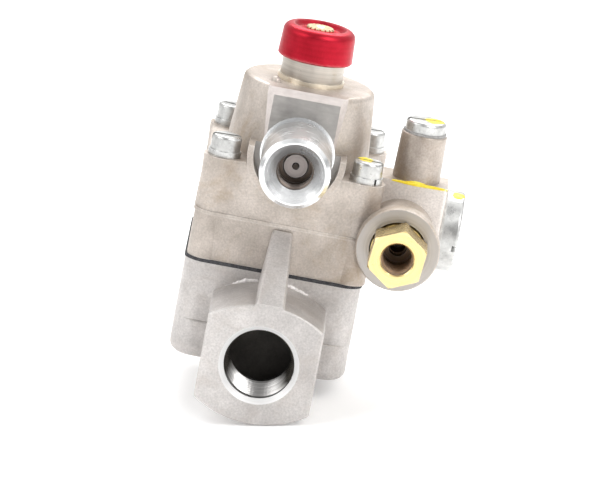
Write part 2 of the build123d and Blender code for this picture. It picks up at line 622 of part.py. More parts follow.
def spindle_guide():
    flange_high = BRIDGE_LOW_Z - BRACKET_T
    guide = cylinder_z(GUIDE_R, flange_high, BRIDGE_HIGH_Z)
    guide += cylinder_z(GUIDE_R + 1.2, flange_high - 0.8, flange_high)
    return guide - cylinder_z(SPINDLE_R + RUNNING_GAP, flange_high - 2, BRIDGE_HIGH_Z + 1)


def valve_spindle():
    spindle = cylinder_z(SPINDLE_R, SPINDLE_BOTTOM_Z, SPINDLE_TOP_Z)
    spindle += cylinder_z(2.4, ARMATURE_Z + ARMATURE_H, SPINDLE_TOP_Z)
    clip_low = SPINDLE_BOTTOM_Z + 0.5
    return spindle - ring_z(SPINDLE_R + 1, SPINDLE_R - 0.4, clip_low, clip_low + 0.6)


def armature_plate():
    plate = Pos(0, 0, ARMATURE_Z) * extrude(RectangleRounded(18.0, 6.0, 1.0), ARMATURE_H)
    return plate - cylinder_z(SPINDLE_R, ARMATURE_Z - 1, ARMATURE_Z + ARMATURE_H + 1)


def valve_seat():
    ring = ring_z(SEAT_RING_R, SEAT_BORE_R, SEAT_Z, SEAT_TOP_Z)
    lip = ring_z(SEAT_RING_R + 1, SEAT_BORE_R + 0.8, SEAT_Z - 1, SEAT_Z + 0.6)
    return ring - lip


def valve_disc():
    return ring_z(DISC_R, SPINDLE_R, DISC_LOW_Z, DISC_LOW_Z + DISC_H)


def disc_holder():
    holder = cylinder_z(DISC_R + 0.7, DISC_LOW_Z - HOLDER_H, DISC_LOW_Z + DISC_H - 0.5)
    holder -= cylinder_z(DISC_R, DISC_LOW_Z, DISC_LOW_Z + DISC_H + 1)
    holder += cylinder_z(2.8, HUB_LOW_Z, DISC_LOW_Z - HOLDER_H)
    return holder - cylinder_z(SPINDLE_R, HUB_LOW_Z - 1, DISC_LOW_Z + 1)


def pilot_plug():
    seat = ADJUSTER_TOP_Z + 0.5
    top = seat + PLUG_HEAD_H
    head = cylinder_z(PLUG_HEAD_R, seat, top)
    head = fillet(head.faces().sort_by(Axis.Z)[-1].edges(), 0.9)
    head -= Rot(0, 0, 10) * block(-6, 6, -0.6, 0.6, top - 0.8, top + 1)
    head += cylinder_z(PLUG_BORE_R, ADJUSTER_TOP_Z - 3.2, seat)
    return Pos(ADJUSTER_X, ADJUSTER_Y, 0) * head


def pilot_plug_washer():
    return ring_z(5.25, PLUG_BORE_R, ADJUSTER_TOP_Z, ADJUSTER_TOP_Z + 0.5, ADJUSTER_X, ADJUSTER_Y)


def pilot_needle():
    top = ADJUSTER_TOP_Z - 4.4
    radius = NEEDLE_BORE_R - RUNNING_GAP
    tip_z = NEEDLE_SEAT_Z + 0.35
    needle = cylinder_z(radius, top - 6.5, top)
    needle += cylinder_z(1.5, tip_z + 2.0, top - 6.4)
    needle += cone_z(0.5, 1.5, tip_z, tip_z + 2.0)
    needle -= block(-4, 4, -0.45, 0.45, top - 1.2, top + 1)
    needle -= ring_z(radius + 1, radius - 1.15, top - 4.6, top - 3.2)
    return Pos(ADJUSTER_X, ADJUSTER_Y, 0) * needle


def needle_seal():
    wire = 0.56
    centre = NEEDLE_BORE_R - RUNNING_GAP - wire
    return o_ring(centre, wire, ADJUSTER_TOP_Z - 4.4 - 3.9, ADJUSTER_X, ADJUSTER_Y)


def side_cap_gasket():
    ring = cylinder_x(SIDE_CAP_R + 0.15, BLOCK_RIGHT_X, BLOCK_RIGHT_X + SIDE_GASKET_H, SIDE_CAP_Y, PILOT_Z)
    return ring - cylinder_x(FILTER_BORE_R, BLOCK_RIGHT_X - 1, BLOCK_RIGHT_X + 2, SIDE_CAP_Y, PILOT_Z)


def pilot_side_cap():
    low = BLOCK_RIGHT_X + SIDE_GASKET_H
    cap = cylinder_x(SIDE_CAP_R, low, low + SIDE_CAP_H, SIDE_CAP_Y, PILOT_Z)
    cap = fillet(cap.faces().sort_by(Axis.X)[-1].edges(), 0.7)
    slot = block(low + SIDE_CAP_H - 1.3, low + SIDE_CAP_H + 1, -12, 12, -0.8, 0.8)
    cap -= Pos(0, SIDE_CAP_Y, PILOT_Z) * Rot(12, 0, 0) * slot
    plug = cylinder_x(FILTER_BORE_R, BLOCK_RIGHT_X - 3.5, low, SIDE_CAP_Y, PILOT_Z)
    plug -= cylinder_x(FILTER_BORE_R - 1.4, BLOCK_RIGHT_X - 4, BLOCK_RIGHT_X - 0.5, SIDE_CAP_Y, PILOT_Z)
    return cap + plug


def pilot_filter():
    return cylinder_x(FILTER_BORE_R - 1.5, FILTER_FLOOR_X + 0.1, BLOCK_RIGHT_X - 0.6, SIDE_CAP_Y, PILOT_Z)


def pilot_fitting():
    hexagon = RegularPolygon(FITTING_AF / 2, 6, major_radius=False)
    length = FITTING_HEX_BACK_Y - FITTING_FRONT_Y
    nut = Rot(90, 0, 0) * extrude(Rot(0, 0, FITTING_TURN) * hexagon, length)
    nut = Pos(0, FITTING_HEX_BACK_Y, 0) * nut
    corner_r = FITTING_AF / math.sqrt(3)
    rounder = cylinder_y(corner_r + 0.1, FITTING_FRONT_Y, FITTING_HEX_BACK_Y)
    rounder = chamfer(rounder.faces().sort_by(Axis.Y)[0].edges(), 0.5, 0.5)
    nut &= rounder
    nut += cylinder_y(FITTING_COLLAR_R, FITTING_HEX_BACK_Y - 0.5, FITTING_RECESS_Y)
    nut += cylinder_y(FITTING_SHANK_R, FITTING_RECESS_Y - 0.5, FITTING_SHANK_END_Y)
    nut -= cylinder_y(FITTING_HOLE_R, FITTING_FRONT_Y - 1, FITTING_SEAT_Y - FERRULE_H)
    nut -= cylinder_y(FERRULE_R, FITTING_FRONT_Y - 1, FITTING_SEAT_Y)
    mouth_r = FITTING_HOLE_R + FITTING_MOUTH_CHAMFER
    mouth_end = FITTING_FRONT_Y + FITTING_MOUTH_CHAMFER
    nut -= cone_y(mouth_r, FITTING_HOLE_R, FITTING_FRONT_Y, mouth_end)
    nut -= cylinder_y(2.0, FITTING_SEAT_Y - 1, FITTING_SHANK_END_Y + 1)
    return Pos(PILOT_X, 0, PILOT_Z) * nut


def pilot_ferrule():
    ring = cylinder_y(FERRULE_R, FITTING_SEAT_Y - FERRULE_H, FITTING_SEAT_Y, PILOT_X, PILOT_Z)
    ring = chamfer(ring.faces().sort_by(Axis.Y)[-1].edges(), 0.5)
    return ring - cylinder_y(2.2, FITTING_SEAT_Y - 4, FITTING_SEAT_Y + 1, PILOT_X, PILOT_Z)


def save(name, shapes):
    solids = shapes if isinstance(shapes, list) else [shapes]
    pieces = []
    for shape in solids:
        for solid in shape.solids():
            pieces.append(solid.moved(Location((0, -ORIGIN_Y, 0))))
    result = pieces[0] if len(pieces) == 1 else Compound(children=pieces)
    export_step(result, f"parts/{name}.step")


def build():
    os.makedirs("parts", exist_ok=True)
    slots = (8, 175, 12, 160)
    places = screw_places()
    holder_bottom = DISC_LOW_Z - HOLDER_H
    clip_low = SPINDLE_BOTTOM_Z + 0.5
    save("lower_body", lower_body())
    save("body_gasket", body_gasket())
    save("upper_body", upper_body())
    save("cover_screws", [cover_screw(x, y, angle) for (x, y), angle in zip(places, slots)])
    save("lock_washers", [lock_washer(x, y, angle + 130) for (x, y), angle in zip(places, slots)])
    save("reset_sleeve", reset_sleeve())
    save("stem_seal", stem_seal())
    save("reset_button", reset_button())
    save("stem_end", stem_end())
    save("reset_stem", reset_stem())
    save("stem_clip", snap_clip(5.0, STEM_R - 0.6, CLIP_Z, CLIP_Z + CLIP_H, 2.6))
    save("reset_spring", coil_spring(5.75, 0.35, SLEEVE_FLOOR_Z, CAP_CEILING_Z, 5))
    save("thermocouple_connector", thermocouple_connector())
    save("connector_washer", connector_washer())
    save("connector_insulator", connector_insulator())
    save("connector_contact", connector_contact())
    save("contact_lead", contact_lead())
    save("magnet_core", magnet_core())
    save("magnet_coil_left", magnet_coil(-1))
    save("magnet_coil_right", magnet_coil(1))
    save("magnet_bracket", magnet_bracket())
    save("bracket_screws", [bracket_screw(x) for x in BRACKET_SCREW_X])
    save("spindle_guide", spindle_guide())
    save("valve_spindle", valve_spindle())
    save("armature_plate", armature_plate())
    save("valve_seat", valve_seat())
    save("valve_disc", valve_disc())
    save("disc_holder", disc_holder())
    save("spindle_clip", snap_clip(2.9, SPINDLE_R - 0.4, clip_low, clip_low + 0.6, 1.6))
    save("closing_spring", coil_spring(4.8, 0.4, SPRING_WELL_Z, holder_bottom, 6))
    save("pilot_plug", pilot_plug())
    save("pilot_plug_washer", pilot_plug_washer())
    save("pilot_needle", pilot_needle())
    save("needle_seal", needle_seal())
    save("pilot_side_cap", pilot_side_cap())
    save("side_cap_gasket", side_cap_gasket())
    save("pilot_filter", pilot_filter())
    save("pilot_fitting", pilot_fitting())
    save("pilot_ferrule", pilot_ferrule())


build()
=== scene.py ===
import json
import math
import random

import bmesh
import bpy
from mathutils import Matrix, Vector
from mathutils.bvhtree import BVHTree


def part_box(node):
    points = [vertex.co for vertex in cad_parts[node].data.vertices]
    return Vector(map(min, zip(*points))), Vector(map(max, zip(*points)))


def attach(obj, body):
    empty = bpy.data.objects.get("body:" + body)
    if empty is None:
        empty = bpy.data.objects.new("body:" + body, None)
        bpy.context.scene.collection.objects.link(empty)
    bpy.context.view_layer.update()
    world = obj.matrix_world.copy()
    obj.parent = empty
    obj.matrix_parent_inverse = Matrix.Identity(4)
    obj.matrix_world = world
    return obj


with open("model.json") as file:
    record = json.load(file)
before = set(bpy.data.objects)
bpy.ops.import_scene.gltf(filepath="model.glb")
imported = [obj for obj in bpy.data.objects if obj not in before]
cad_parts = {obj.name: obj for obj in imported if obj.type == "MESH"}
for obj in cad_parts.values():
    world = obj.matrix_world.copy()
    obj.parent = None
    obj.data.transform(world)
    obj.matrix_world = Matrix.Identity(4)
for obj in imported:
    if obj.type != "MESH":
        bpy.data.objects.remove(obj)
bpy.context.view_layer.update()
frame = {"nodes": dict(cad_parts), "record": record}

NODES = frame["nodes"]
MOUNTS = {mount["name"]: mount for mount in frame["record"]["mounts"]}
MM = 0.001
RIGHT, BACK, UP = Vector((1, 0, 0)), Vector((0, 1, 0)), Vector((0, 0, 1))


def middle(node):
    """Centre of a CAD node's box."""
    low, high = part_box(node)
    return (low + high) / 2


PIPE_AXIS = Vector((0, 0, 0))               # a point on the pipe axis, which runs along Y
STEM = middle("reset_button")               # the reset stem's axis
CONNECTOR = middle("thermocouple_connector")
FITTING = middle("pilot_fitting")
SIDE_CAP = middle("pilot_side_cap")
PLUG = middle("pilot_plug")
FLANGE_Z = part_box("lock_washers")[0].z      # top face of the upper casting's flange
BLOCK_FRONT_Y = STEM.y - 11 * MM            # front face of the pilot block
CROWN_R = 24.2 * MM                         # radius of the arc over and under each pipe boss
SIDE_BEVEL_X = 0.852                        # how far the pad's side bevels face sideways
TOP_BEVEL_Z = 0.707                         # how far the pad's top bevel faces up

# painted shade for the upper part of the port threads
PAINTED_SHADE_DEEP, PAINTED_SHADE_SOFT = (0.030, 0.027, 0.023), (0.060, 0.054, 0.045)
RUBBED_CASTING = (0.86, 0.84, 0.81)
RUBBED_PLATING, DULL_SPECK = (0.93, 0.94, 0.95), (0.30, 0.30, 0.29)
CUT_ALONG_X = (0.25, 1.0, 1.0)              # stretches a milled face's marks along X


# --- material helpers: noise scales are in cells per metre, so 1000 gives cells of 1 mm ---------------


class Surface:
    """One procedural material: a Principled shader with short helpers for the nodes that feed it."""

    def __init__(self, name):
        self.material = bpy.data.materials.new(name)
        self.material.use_nodes = True
        self.tree = self.material.node_tree
        self.shader = self.tree.nodes["Principled BSDF"]
        self.place = self.tree.nodes.new("ShaderNodeTexCoord").outputs["Object"]

    def node(self, kind, inputs=(), **settings):
        made = self.tree.nodes.new(kind)
        for key, value in settings.items():
            setattr(made, key, value)
        for key, value in dict(inputs).items():
            if isinstance(value, bpy.types.NodeSocket):
                self.tree.links.new(value, made.inputs[key])
            else:
                made.inputs[key].default_value = value
        return made

    def noise(self, scale, detail=3.0, roughness=0.55, where=None, distortion=0.0):
        inputs = {"Vector": where or self.place, "Scale": scale, "Detail": detail}
        inputs.update({"Roughness": roughness, "Distortion": distortion})
        return self.node("ShaderNodeTexNoise", inputs).outputs["Fac"]

    def span(self, value, low, high, out_low=0.0, out_high=1.0):
        inputs = {"Value": value, "From Min": low, "From Max": high, "To Min": out_low, "To Max": out_high}
        return self.node("ShaderNodeMapRange", inputs).outputs["Result"]

    def math(self, operation, first, second):
        return self.node("ShaderNodeMath", {0: first, 1: second}, operation=operation).outputs[0]

    def mix(self, factor, first, second, blend="MIX"):
        made = self.tree.nodes.new("ShaderNodeMix")
        made.data_type = "RGBA"
        made.blend_type = blend
        sockets = [s for s in made.inputs if s.enabled]
        for socket, value in zip(sockets, (factor, first, second)):
            if isinstance(value, bpy.types.NodeSocket):
                self.tree.links.new(value, socket)
            elif isinstance(value, (int, float)):
                socket.default_value = value
            else:
                socket.default_value = (*value, 1.0)
        return [s for s in made.outputs if s.enabled][0]

    def bump(self, height, distance, strength=1.0, below=None):
        inputs = {"Height": height, "Distance": distance, "Strength": strength}
        if below is not None:
            inputs["Normal"] = below
        return self.node("ShaderNodeBump", inputs).outputs["Normal"]

    def edges(self, radius):
        """1 along the outside and inside edges of the shape, 0 on its open faces."""
        rounded = self.node("ShaderNodeBevel", {"Radius": radius}, samples=4).outputs["Normal"]
        flat = self.node("ShaderNodeNewGeometry").outputs["Normal"]
        agree = self.node("ShaderNodeVectorMath", {0: rounded, 1: flat}, operation="DOT_PRODUCT")
        return self.span(agree.outputs["Value"], 0.995, 0.80)

    def height_above(self, axis):
        """The place along one axis of the shared frame."""
        return self.node("ShaderNodeSeparateXYZ", {"Vector": self.place}).outputs[axis]

    def rings(self, centre, axis):
        """Coordinates that change with the distance from a turned piece's axis and along it, never around."""
        moved = self.node("ShaderNodeVectorMath", {0: self.place, 1: tuple(centre)}, operation="SUBTRACT")
        parts = self.node("ShaderNodeSeparateXYZ", {"Vector": moved.outputs["Vector"]})
        across = [name for name in "XYZ" if name != axis]
        flat = self.node("ShaderNodeCombineXYZ", {n: parts.outputs[a] for n, a in zip("XY", across)})
        reach = self.node("ShaderNodeVectorMath", {0: flat.outputs["Vector"]}, operation="LENGTH")
        made = self.node("ShaderNodeCombineXYZ", {"X": reach.outputs["Value"], "Y": parts.outputs[axis]})
        return made.outputs["Vector"]

    def finish(self, **sockets):
        names = {"colour": "Base Color", "normal": "Normal", "rough": "Roughness", "metallic": "Metallic"}
        for key, value in sockets.items():
            socket = self.shader.inputs[names.get(key, key)]
            if isinstance(value, bpy.types.NodeSocket):
                self.tree.links.new(value, socket)
            else:
                socket.default_value = value
        return self.material


def top_shaded_thread(name, light, dark, rough, centre, lit_below, shaded_above):
    """A cut thread with painted shade: dark over its upper part, and its own lighter colour along the bottom,
    where the light falls.
    """
    s = Surface(name)
    around = s.rings(centre, "Y")
    marks = s.noise(1500.0, 4.0, 0.7, around)
    lit_thread = s.mix(s.span(marks, 0.35, 0.65), dark, light)
    ragged = s.span(s.noise(300.0, 3.0), 0.0, 1.0, -0.8 * MM, 0.8 * MM)
    height = s.math("ADD", s.height_above("Z"), ragged)
    # painted shade: dark above one height, and the thread's own colour below it
    lit_share = s.span(height, shaded_above, lit_below)
    painted_shade = s.mix(s.span(s.noise(700.0, 3.0), 0.3, 0.7), PAINTED_SHADE_DEEP, PAINTED_SHADE_SOFT)
    colour = s.mix(lit_share, painted_shade, lit_thread)
    roughness = s.span(lit_share, 0.0, 1.0, 0.55, rough)
    return s.finish(colour=colour, rough=roughness, normal=s.bump(marks, 0.012 * MM, 0.7), metallic=0.9)


def cast_metal(name, light, dark, stain, metallic, rough, stain_amount):
    """Sand or die cast aluminium: mottled tone, soft stains, fine grain, and edges rubbed brighter."""
    s = Surface(name)
    tone = s.span(s.noise(95.0, 4.0, 0.6), 0.32, 0.68)
    colour = s.mix(tone, dark, light)
    fleck = s.span(s.noise(2100.0, 2.0), 0.30, 0.72, 0.86, 1.10)
    grey = s.node("ShaderNodeCombineColor", {0: fleck, 1: fleck, 2: fleck}).outputs[0]
    colour = s.mix(1.0, colour, grey, "MULTIPLY")
    patches = s.span(s.noise(85.0, 6.0, 0.68, distortion=0.8), 0.49, 0.70, 0.0, stain_amount)
    colour = s.mix(patches, colour, stain)
    edge_wear_and_highlight = s.math("MULTIPLY", s.edges(0.45 * MM), s.span(s.noise(420.0), 0.30, 0.62))
    colour = s.mix(s.math("MULTIPLY", edge_wear_and_highlight, 0.55), colour, RUBBED_CASTING)
    roughness = s.span(s.noise(160.0, 3.0), 0.3, 0.7, rough - 0.07, rough + 0.08)
    roughness = s.math("SUBTRACT", roughness, s.math("MULTIPLY", edge_wear_and_highlight, 0.14))
    grain = s.bump(s.noise(3000.0, 3.0, 0.6), 0.055 * MM, 0.75)
    skin = s.bump(s.noise(620.0, 3.0, 0.5), 0.09 * MM, 0.75, grain)
    wave = s.bump(s.noise(150.0, 2.0, 0.5), 0.16 * MM, 0.55, skin)
    return s.finish(colour=colour, rough=roughness, normal=wave, metallic=metallic)


def milled_metal(name, light, dark, rough, direction, metallic=0.9):
    """A flat face cut by a tool: fine straight marks along one direction."""
    s = Surface(name)
    stretch = s.node("ShaderNodeMapping", {"Vector": s.place, "Scale": direction}).outputs["Vector"]
    marks = s.noise(900.0, 3.0, 0.6, stretch)
    tone = s.math("ADD", s.math("MULTIPLY", s.noise(260.0, 3.0), 0.5), s.math("MULTIPLY", marks, 0.5))
    colour = s.mix(s.span(tone, 0.36, 0.64), dark, light)
    roughness = s.span(marks, 0.3, 0.7, rough - 0.06, rough + 0.08)
    normal = s.bump(marks, 0.02 * MM, 0.8)
    return s.finish(colour=colour, rough=roughness, normal=normal, metallic=metallic)


def turned_metal(name, light, dark, rough, centre, axis,
                 groove=0.012, scale=1500.0, metallic=1.0, edge=(1, 1, 1)):
    """A piece cut on a lathe: rings on its faces and along its barrel, with faint handling marks."""
    s = Surface(name)
    around = s.rings(centre, axis)
    marks = s.noise(scale, 4.0, 0.7, around)
    broad = s.noise(scale * 0.22, 2.0, 0.5, around)
    smudge = s.noise(210.0, 3.0, 0.6)
    tone = s.math("ADD", s.math("MULTIPLY", marks, 0.6), s.math("MULTIPLY", broad, 0.4))
    colour = s.mix(s.span(tone, 0.35, 0.65), dark, light)
    colour = s.mix(s.math("MULTIPLY", s.edges(0.25 * MM), 0.4), colour, edge)
    cut = s.span(marks, 0.3, 0.7, rough - 0.04, rough + 0.06)
    roughness = s.math("ADD", cut, s.span(smudge, 0.45, 0.75, 0.0, 0.10))
    normal = s.bump(marks, groove * MM, 0.7)
    return s.finish(colour=colour, rough=roughness, normal=normal, metallic=metallic)


def plated_steel(name, light, dark, rough):
    """Plated metal or drawn wire: cloudy tone, dull specks and rubbed edges."""
    s = Surface(name)
    cloud = s.span(s.noise(330.0, 4.0, 0.65), 0.34, 0.66)
    colour = s.mix(cloud, dark, light)
    speck = s.span(s.noise(1900.0, 2.0), 0.60, 0.74, 0.0, 0.5)
    colour = s.mix(speck, colour, DULL_SPECK)
    edge_wear_and_highlight = s.edges(0.28 * MM)
    colour = s.mix(s.math("MULTIPLY", edge_wear_and_highlight, 0.6), colour, RUBBED_PLATING)
    roughness = s.span(s.noise(700.0, 3.0), 0.3, 0.7, rough - 0.06, rough + 0.12)
    normal = s.bump(s.noise(1500.0, 3.0), 0.03 * MM, 0.6)
    return s.finish(colour=colour, rough=roughness, normal=normal, metallic=0.95)


def anodised_red(name):
    """Deep red anodised aluminium with fine turning rings, and pale pink along its edges as a painted
    highlight on the rim.
    """
    s = Surface(name)
    around = s.rings(STEM, "Z")
    marks = s.noise(1300.0, 4.0, 0.65, around)
    colour = s.mix(s.span(marks, 0.30, 0.70), (0.36, 0.003, 0.014), (0.47, 0.006, 0.022))
    cloud = s.span(s.noise(240.0, 4.0), 0.40, 0.72, 0.0, 0.55)
    colour = s.mix(cloud, colour, (0.56, 0.012, 0.035))
    # painted highlight: the edges, the cap's rim above all, are coloured pale pink where the light catches
    # them
    edge_wear_and_highlight = s.math("MULTIPLY", s.edges(1.1 * MM), s.span(s.noise(420.0), 0.28, 0.60))
    colour = s.mix(s.math("MULTIPLY", edge_wear_and_highlight, 0.62), colour, (0.92, 0.42, 0.43))
    roughness = s.span(s.noise(520.0, 3.0), 0.3, 0.7, 0.30, 0.44)
    normal = s.bump(s.noise(2400.0, 3.0), 0.03 * MM, 0.7, s.bump(marks, 0.003 * MM, 0.5))
    return s.finish(colour=colour, rough=roughness, normal=normal, metallic=0.75)


def soft_sheet(name, light, dark, rough):
    """Pressed fibre or rubber: speckled and slightly uneven."""
    s = Surface(name)
    colour = s.mix(s.span(s.noise(1200.0, 3.0), 0.36, 0.66), dark, light)
    roughness = s.span(s.noise(600.0), 0.3, 0.7, rough - 0.08, min(1.0, rough + 0.08))
    normal = s.bump(s.noise(1700.0, 3.0), 0.05 * MM, 0.8)
    return s.finish(colour=colour, rough=roughness, normal=normal, metallic=0.0)


def wound_wire(name):
    """Varnished copper winding: fine turns stacked along Z."""
    s = Surface(name)
    wire_pitch = 0.5 * MM
    turns = s.math("SINE", s.math("MULTIPLY", s.height_above("Z"), 2 * math.pi / wire_pitch), 0.0)
    colour = s.mix(s.span(turns, -1.0, 1.0), (0.16, 0.045, 0.015), (0.62, 0.24, 0.10))
    colour = s.mix(s.span(s.noise(900.0), 0.3, 0.7, 0.0, 0.35), colour, (0.42, 0.14, 0.05))
    normal = s.bump(turns, 0.08 * MM, 0.8)
    roughness = s.span(s.noise(500.0), 0.3, 0.7, 0.26, 0.42)
    return s.finish(colour=colour, rough=roughness, normal=normal, metallic=0.85)


def felt(name):
    """Pressed felt: pale, dull and fibrous."""
    s = Surface(name)
    fibre = s.noise(2600.0, 5.0, 0.8, distortion=2.0)
    colour = s.mix(s.span(fibre, 0.3, 0.7), (0.48, 0.45, 0.38), (0.78, 0.75, 0.67))
    roughness = s.span(fibre, 0.3, 0.7, 0.85, 1.0)
    return s.finish(colour=colour, rough=roughness, normal=s.bump(fibre, 0.12 * MM, 1.0))


def inspection_paint(name):
    """A brushed dab of yellow paint, streaked from orange to lemon."""
    s = Surface(name)
    thin = s.span(s.noise(620.0, 4.0, 0.6), 0.38, 0.66)
    colour = s.mix(thin, (0.90, 0.66, 0.02), (0.95, 0.83, 0.10))
    roughness = s.span(s.noise(900.0), 0.3, 0.7, 0.34, 0.55)
    return s.finish(colour=colour, rough=roughness, normal=s.bump(s.noise(1500.0, 3.0), 0.03 * MM, 0.8))


# --- finishes on the CAD nodes ----------------------------------------------------------------------


def dress(material, *names):
    """Gives whole CAD nodes one material."""
    for name in names:
        mesh = NODES[name].data
        mesh.materials.clear()
        mesh.materials.append(material)


def second_finish(name, material, wanted):
    """Gives the faces of a CAD node that pass a test, of face centre and normal, another material."""
    mesh = NODES[name].data
    mesh.materials.append(material)
    index = len(mesh.materials) - 1
    for face in mesh.polygons:
        if wanted(face.center, face.normal):
            face.material_index = index


def from_axis(point, centre, axis):
    """Distance of a point from an axis through centre, where axis is 0, 1 or 2."""
    offset = point - centre
    offset[axis] = 0.0
    return offset.length


def finish_castings():
    """The two castings' own skins. The machined faces come after them."""
    upper = cast_metal("cast_upper_skin", light=(0.64, 0.575, 0.52), dark=(0.42, 0.37, 0.325),
                       stain=(0.36, 0.27, 0.18), metallic=0.58, rough=0.46, stain_amount=0.66)
    lower = cast_metal("cast_lower_skin", light=(0.66, 0.63, 0.61), dark=(0.49, 0.465, 0.45),
                       stain=(0.43, 0.375, 0.335), metallic=0.58, rough=0.45, stain_amount=0.40)
    dress(upper, "upper_body")
    dress(lower, "lower_body")


def finish_pad():
    """The connector's flat pad on the drum is milled, and so are the bevels around it. They are lit and
    shaded copies of one finish: the bevels are painted lighter as highlight, and the pad darker as shade.
    """
    # painted shade: the front-facing milled face is coloured darker than the bevels beside it
    pad = milled_metal("pad_milled_painted_shade", light=(0.46, 0.44, 0.42), dark=(0.33, 0.315, 0.30), rough=0.42,
                       direction=CUT_ALONG_X)
    pad_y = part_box("connector_washer")[1].y
    pad_bottom = FLANGE_Z - 8 * MM

    def on_pad(centre, normal):
        return normal.y < -0.99 and abs(centre.y - pad_y) < 0.02 * MM and centre.z > pad_bottom

    second_finish("upper_body", pad, on_pad)
    # painted highlight: the bevels, which face up and sideways, are coloured lighter and made little metallic
    bevels = milled_metal("pad_bevel_painted_highlight", light=(0.78, 0.715, 0.685), dark=(0.60, 0.545, 0.515),
                          rough=0.42, direction=CUT_ALONG_X, metallic=0.4)
    bevel_back = pad_y + 3 * MM
    bevel_bottom = FLANGE_Z + 2 * MM
    bevel_half_width = 10 * MM

    def on_bevel(centre, normal):
        in_reach = centre.y < bevel_back and centre.z > bevel_bottom
        beside = in_reach and abs(centre.x) < bevel_half_width
        on_side = abs(abs(normal.x) - SIDE_BEVEL_X) < 0.02 and normal.y < -0.4
        on_top = abs(normal.x) < 0.02 and abs(normal.z - TOP_BEVEL_Z) < 0.03 and normal.y < -0.4
        return beside and (on_side or on_top)

    second_finish("upper_body", bevels, on_bevel)


def finish_ports():
    """Both pipe ports have a turned mouth coloured near white as painted light, a thread with painted shade
    over its upper part, and a passage behind it coloured near black as painted shade.
    """
    low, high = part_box("lower_body")
    # turned metal with painted light: coloured near white and made little metallic, so that its upper half,
    # which lies in shade, reads as lit
    mouth = turned_metal("port_face_turned", light=(0.90, 0.89, 0.885), dark=(0.74, 0.73, 0.72),
                         rough=0.36, centre=PIPE_AXIS, axis="Y", metallic=0.25)
    bore = top_shaded_thread("port_bore_turned", light=(0.66, 0.65, 0.64), dark=(0.40, 0.39, 0.38), rough=0.28,
                        centre=PIPE_AXIS, lit_below=-6.3 * MM, shaded_above=-3.2 * MM)
    # painted shade: the passage behind the thread is coloured near black, as the shade far inside the casting
    passage_shade = cast_metal("passage_painted_shade", light=(0.075, 0.068, 0.060), dark=(0.035, 0.031, 0.027),
                      stain=(0.02, 0.018, 0.015), metallic=0.3, rough=0.75, stain_amount=0.4)
    mouth_r, mouth_depth = 9.65 * MM, 1.4 * MM
    bore_r, thread_depth = 8.6 * MM, 15.9 * MM
    bore_from_stem = 9 * MM

    def from_end(centre):
        return min(abs(centre.y - low.y), abs(centre.y - high.y))

    def on_mouth(centre, normal):
        return from_end(centre) < mouth_depth and from_axis(centre, PIPE_AXIS, 1) < mouth_r

    def in_bore(centre, normal):
        return from_axis(centre, PIPE_AXIS, 1) < bore_r and abs(centre.y - STEM.y) > bore_from_stem

    def in_passage(centre, normal):
        return from_axis(centre, PIPE_AXIS, 1) < bore_r and from_end(centre) > thread_depth

    second_finish("lower_body", bore, in_bore)
    second_finish("lower_body", passage_shade, in_passage)
    second_finish("lower_body", mouth, on_mouth)


def finish_pilot_block():
    """The pilot block has a front coloured pale as painted light, a darker tower and a turned ring around the
    brass fitting.
    """
    # painted light: the block's front face is coloured pale, as where strong light from above falls on it
    lit_block_front = cast_metal("pilot_block_front_painted_light", light=(0.84, 0.79, 0.75), dark=(0.70, 0.645, 0.60),
                            stain=(0.50, 0.42, 0.34), metallic=0.35, rough=0.50, stain_amount=0.25)
    block_left, block_top = 21.0 * MM, FLANGE_Z + 0.5 * MM

    def on_block(centre, normal):
        beside = centre.x > block_left and centre.z < block_top
        return beside and abs(centre.y - BLOCK_FRONT_Y) < 0.6 * MM and normal.y < -0.5

    second_finish("upper_body", lit_block_front, on_block)
    tower_skin = cast_metal("tower_skin", light=(0.60, 0.53, 0.47), dark=(0.35, 0.30, 0.26),
                            stain=(0.30, 0.22, 0.15), metallic=0.65, rough=0.40, stain_amount=0.65)
    tower_bottom, tower_r = FLANGE_Z + 0.6 * MM, 6.0 * MM

    def on_tower(centre, normal):
        return centre.z > tower_bottom and from_axis(centre, PLUG, 2) < tower_r

    second_finish("upper_body", tower_skin, on_tower)
    ring_skin = turned_metal("pilot_ring_turned", light=(0.50, 0.47, 0.445), dark=(0.33, 0.305, 0.285),
                             rough=0.36, centre=FITTING, axis="Y", groove=0.03, metallic=0.75)
    ring_front, ring_r = STEM.y - 28 * MM, 10 * MM

    def on_ring_face(centre, normal):
        in_plane = abs(centre.y - ring_front) < 0.05 * MM and normal.y < -0.9
        return in_plane and from_axis(centre, FITTING, 1) < ring_r

    second_finish("upper_body", ring_skin, on_ring_face)


